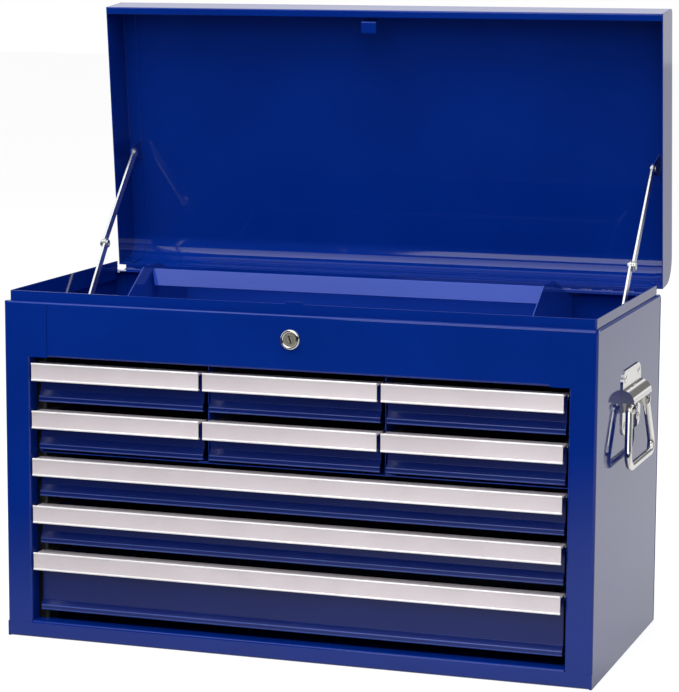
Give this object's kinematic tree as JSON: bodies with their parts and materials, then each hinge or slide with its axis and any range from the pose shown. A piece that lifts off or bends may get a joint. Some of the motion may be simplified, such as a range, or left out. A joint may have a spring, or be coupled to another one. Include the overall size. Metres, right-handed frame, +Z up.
{
  "type": "portable tool chest",
  "caption": "Portable steel tool chest: rows of full-width and small drawers under a hinged lid with a lift-out tray, a key lock and side handles.",
  "frame": {"origin": "centre of the cabinet's base, on the floor", "axes": "+X to the chest's right side seen from the front, -Y to the front where the drawers come out, +Z up"},
  "size_m": [0.6926, 0.3661, 0.6885],
  "materials": {
    "cabinet_paint": "gloss",
    "inner_paint": "gloss",
    "drawer_paint": "gloss",
    "pull_aluminium": "satin",
    "galvanised_steel": "satin",
    "zinc_steel": "satin",
    "chrome": "polished",
    "plug_nickel": "satin"
  },
  "bodies": {
    "cabinet": {"side_left": "cabinet_paint", "side_right": "cabinet_paint", "back_panel": "cabinet_paint", "bottom_pan": "cabinet_paint", "top_rail": "cabinet_paint", "rim": "cabinet_paint", "compartment_floor": "inner_paint", "shelf": "inner_paint", "partition_left": "inner_paint", "partition_right": "inner_paint", "slide_posts": "galvanised_steel", "rails_row_1": "galvanised_steel", "rails_row_2": "galvanised_steel", "rails_row_3": "galvanised_steel", "rails_row_4": "galvanised_steel", "rails_row_5": "galvanised_steel", "hinge_leaf_cabinet": "cabinet_paint", "hinge_pin": "zinc_steel", "stay_studs_cabinet": "zinc_steel", "handle_plate_left": "chrome", "handle_plate_right": "chrome", "handle_rivets": "chrome", "lock_barrel": "chrome", "lock_nut": "galvanised_steel"},
    "lid": {"lid_shell": "cabinet_paint", "lid_end_left": "cabinet_paint", "lid_end_right": "cabinet_paint", "lid_striker": "cabinet_paint", "hinge_leaf_lid": "cabinet_paint", "stay_studs_lid": "zinc_steel"},
    "sliding_drawer_1_left": {"drawer_1_left": "drawer_paint", "pull_1_left": "pull_aluminium"},
    "sliding_drawer_1_middle": {"drawer_1_middle": "drawer_paint", "pull_1_middle": "pull_aluminium"},
    "sliding_drawer_1_right": {"drawer_1_right": "drawer_paint", "pull_1_right": "pull_aluminium"},
    "sliding_drawer_2_left": {"drawer_2_left": "drawer_paint", "pull_2_left": "pull_aluminium"},
    "sliding_drawer_2_middle": {"drawer_2_middle": "drawer_paint", "pull_2_middle": "pull_aluminium"},
    "sliding_drawer_2_right": {"drawer_2_right": "drawer_paint", "pull_2_right": "pull_aluminium"},
    "sliding_drawer_3": {"drawer_3": "drawer_paint", "pull_3": "pull_aluminium"},
    "sliding_drawer_4": {"drawer_4": "drawer_paint", "pull_4": "pull_aluminium"},
    "sliding_drawer_5": {"drawer_5": "drawer_paint", "pull_5": "pull_aluminium"},
    "lower_stay_left": {"stay_lower_left": "zinc_steel"},
    "upper_stay_left": {"stay_upper_left": "zinc_steel"},
    "handle_left": {"handle_bail_left": "chrome"},
    "lower_stay_right": {"stay_lower_right": "zinc_steel"},
    "upper_stay_right": {"stay_upper_right": "zinc_steel"},
    "handle_right": {"handle_bail_right": "chrome"},
    "lock_cylinder": {"lock_plug": "plug_nickel", "lock_cam": "zinc_steel"},
    "lift_out_tray": {"tray": "inner_paint", "tray_handle": "inner_paint"}
  },
  "joints": [
    {"name": "lid_hinge", "type": "hinge", "parent": "cabinet", "child": "lid", "pos_m": [0, 0.1595, 0.371], "axis": [-1, 0, 0], "range_deg": [-83.84, 0]},
    {"name": "drawer_1_left_slide", "type": "slide", "parent": "cabinet", "child": "sliding_drawer_1_left", "axis": [0, -1, 0], "range_m": [0, 0.215]},
    {"name": "drawer_1_middle_slide", "type": "slide", "parent": "cabinet", "child": "sliding_drawer_1_middle", "axis": [0, -1, 0], "range_m": [0, 0.215]},
    {"name": "drawer_1_right_slide", "type": "slide", "parent": "cabinet", "child": "sliding_drawer_1_right", "axis": [0, -1, 0], "range_m": [0, 0.215]},
    {"name": "drawer_2_left_slide", "type": "slide", "parent": "cabinet", "child": "sliding_drawer_2_left", "axis": [0, -1, 0], "range_m": [0, 0.215]},
    {"name": "drawer_2_middle_slide", "type": "slide", "parent": "cabinet", "child": "sliding_drawer_2_middle", "axis": [0, -1, 0], "range_m": [0, 0.215]},
    {"name": "drawer_2_right_slide", "type": "slide", "parent": "cabinet", "child": "sliding_drawer_2_right", "axis": [0, -1, 0], "range_m": [0, 0.215]},
    {"name": "drawer_3_slide", "type": "slide", "parent": "cabinet", "child": "sliding_drawer_3", "axis": [0, -1, 0], "range_m": [0, 0.215]},
    {"name": "drawer_4_slide", "type": "slide", "parent": "cabinet", "child": "sliding_drawer_4", "axis": [0, -1, 0], "range_m": [0, 0.215]},
    {"name": "drawer_5_slide", "type": "slide", "parent": "cabinet", "child": "sliding_drawer_5", "axis": [0, -1, 0], "range_m": [0, 0.215]},
    {"name": "stay_foot_left", "type": "hinge", "parent": "cabinet", "child": "lower_stay_left", "pos_m": [-0.311, 0.0107, 0.326], "axis": [-1, 0, 0], "range_deg": [-123.6, 0]},
    {"name": "stay_head_left", "type": "hinge", "parent": "lid", "child": "upper_stay_left", "pos_m": [-0.3136, 0.1716, 0.511], "axis": [-1, 0, 0], "range_deg": [0, 105.7]},
    {"name": "handle_swing_left", "type": "hinge", "parent": "cabinet", "child": "handle_left", "pos_m": [-0.338, 0.0035, 0.274], "axis": [0, 1, 0], "range_deg": [0, 86]},
    {"name": "stay_foot_right", "type": "hinge", "parent": "cabinet", "child": "lower_stay_right", "pos_m": [0.311, 0.0107, 0.326], "axis": [-1, 0, 0], "range_deg": [-123.6, 0]},
    {"name": "stay_head_right", "type": "hinge", "parent": "lid", "child": "upper_stay_right", "pos_m": [0.3136, 0.1716, 0.511], "axis": [-1, 0, 0], "range_deg": [0, 105.7]},
    {"name": "handle_swing_right", "type": "hinge", "parent": "cabinet", "child": "handle_right", "pos_m": [0.338, 0.0035, 0.274], "axis": [0, -1, 0], "range_deg": [0, 86]},
    {"name": "lock_turn", "type": "hinge", "parent": "cabinet", "child": "lock_cylinder", "pos_m": [0, -0.153, 0.347], "axis": [0, -1, 0], "range_deg": [0, 90]},
    {"name": "tray_lift", "type": "slide", "parent": "cabinet", "child": "lift_out_tray", "axis": [0, 0, 1], "range_m": [0, 0.08]}
  ],
  "couplings": [
    {"joint": "stay_foot_left", "follows": "lid_hinge", "ratio": 1.4624},
    {"joint": "stay_head_left", "follows": "lid_hinge", "ratio": -1.2488},
    {"joint": "stay_foot_right", "follows": "lid_hinge", "ratio": 1.4624},
    {"joint": "stay_head_right", "follows": "lid_hinge", "ratio": -1.2488}
  ]
}
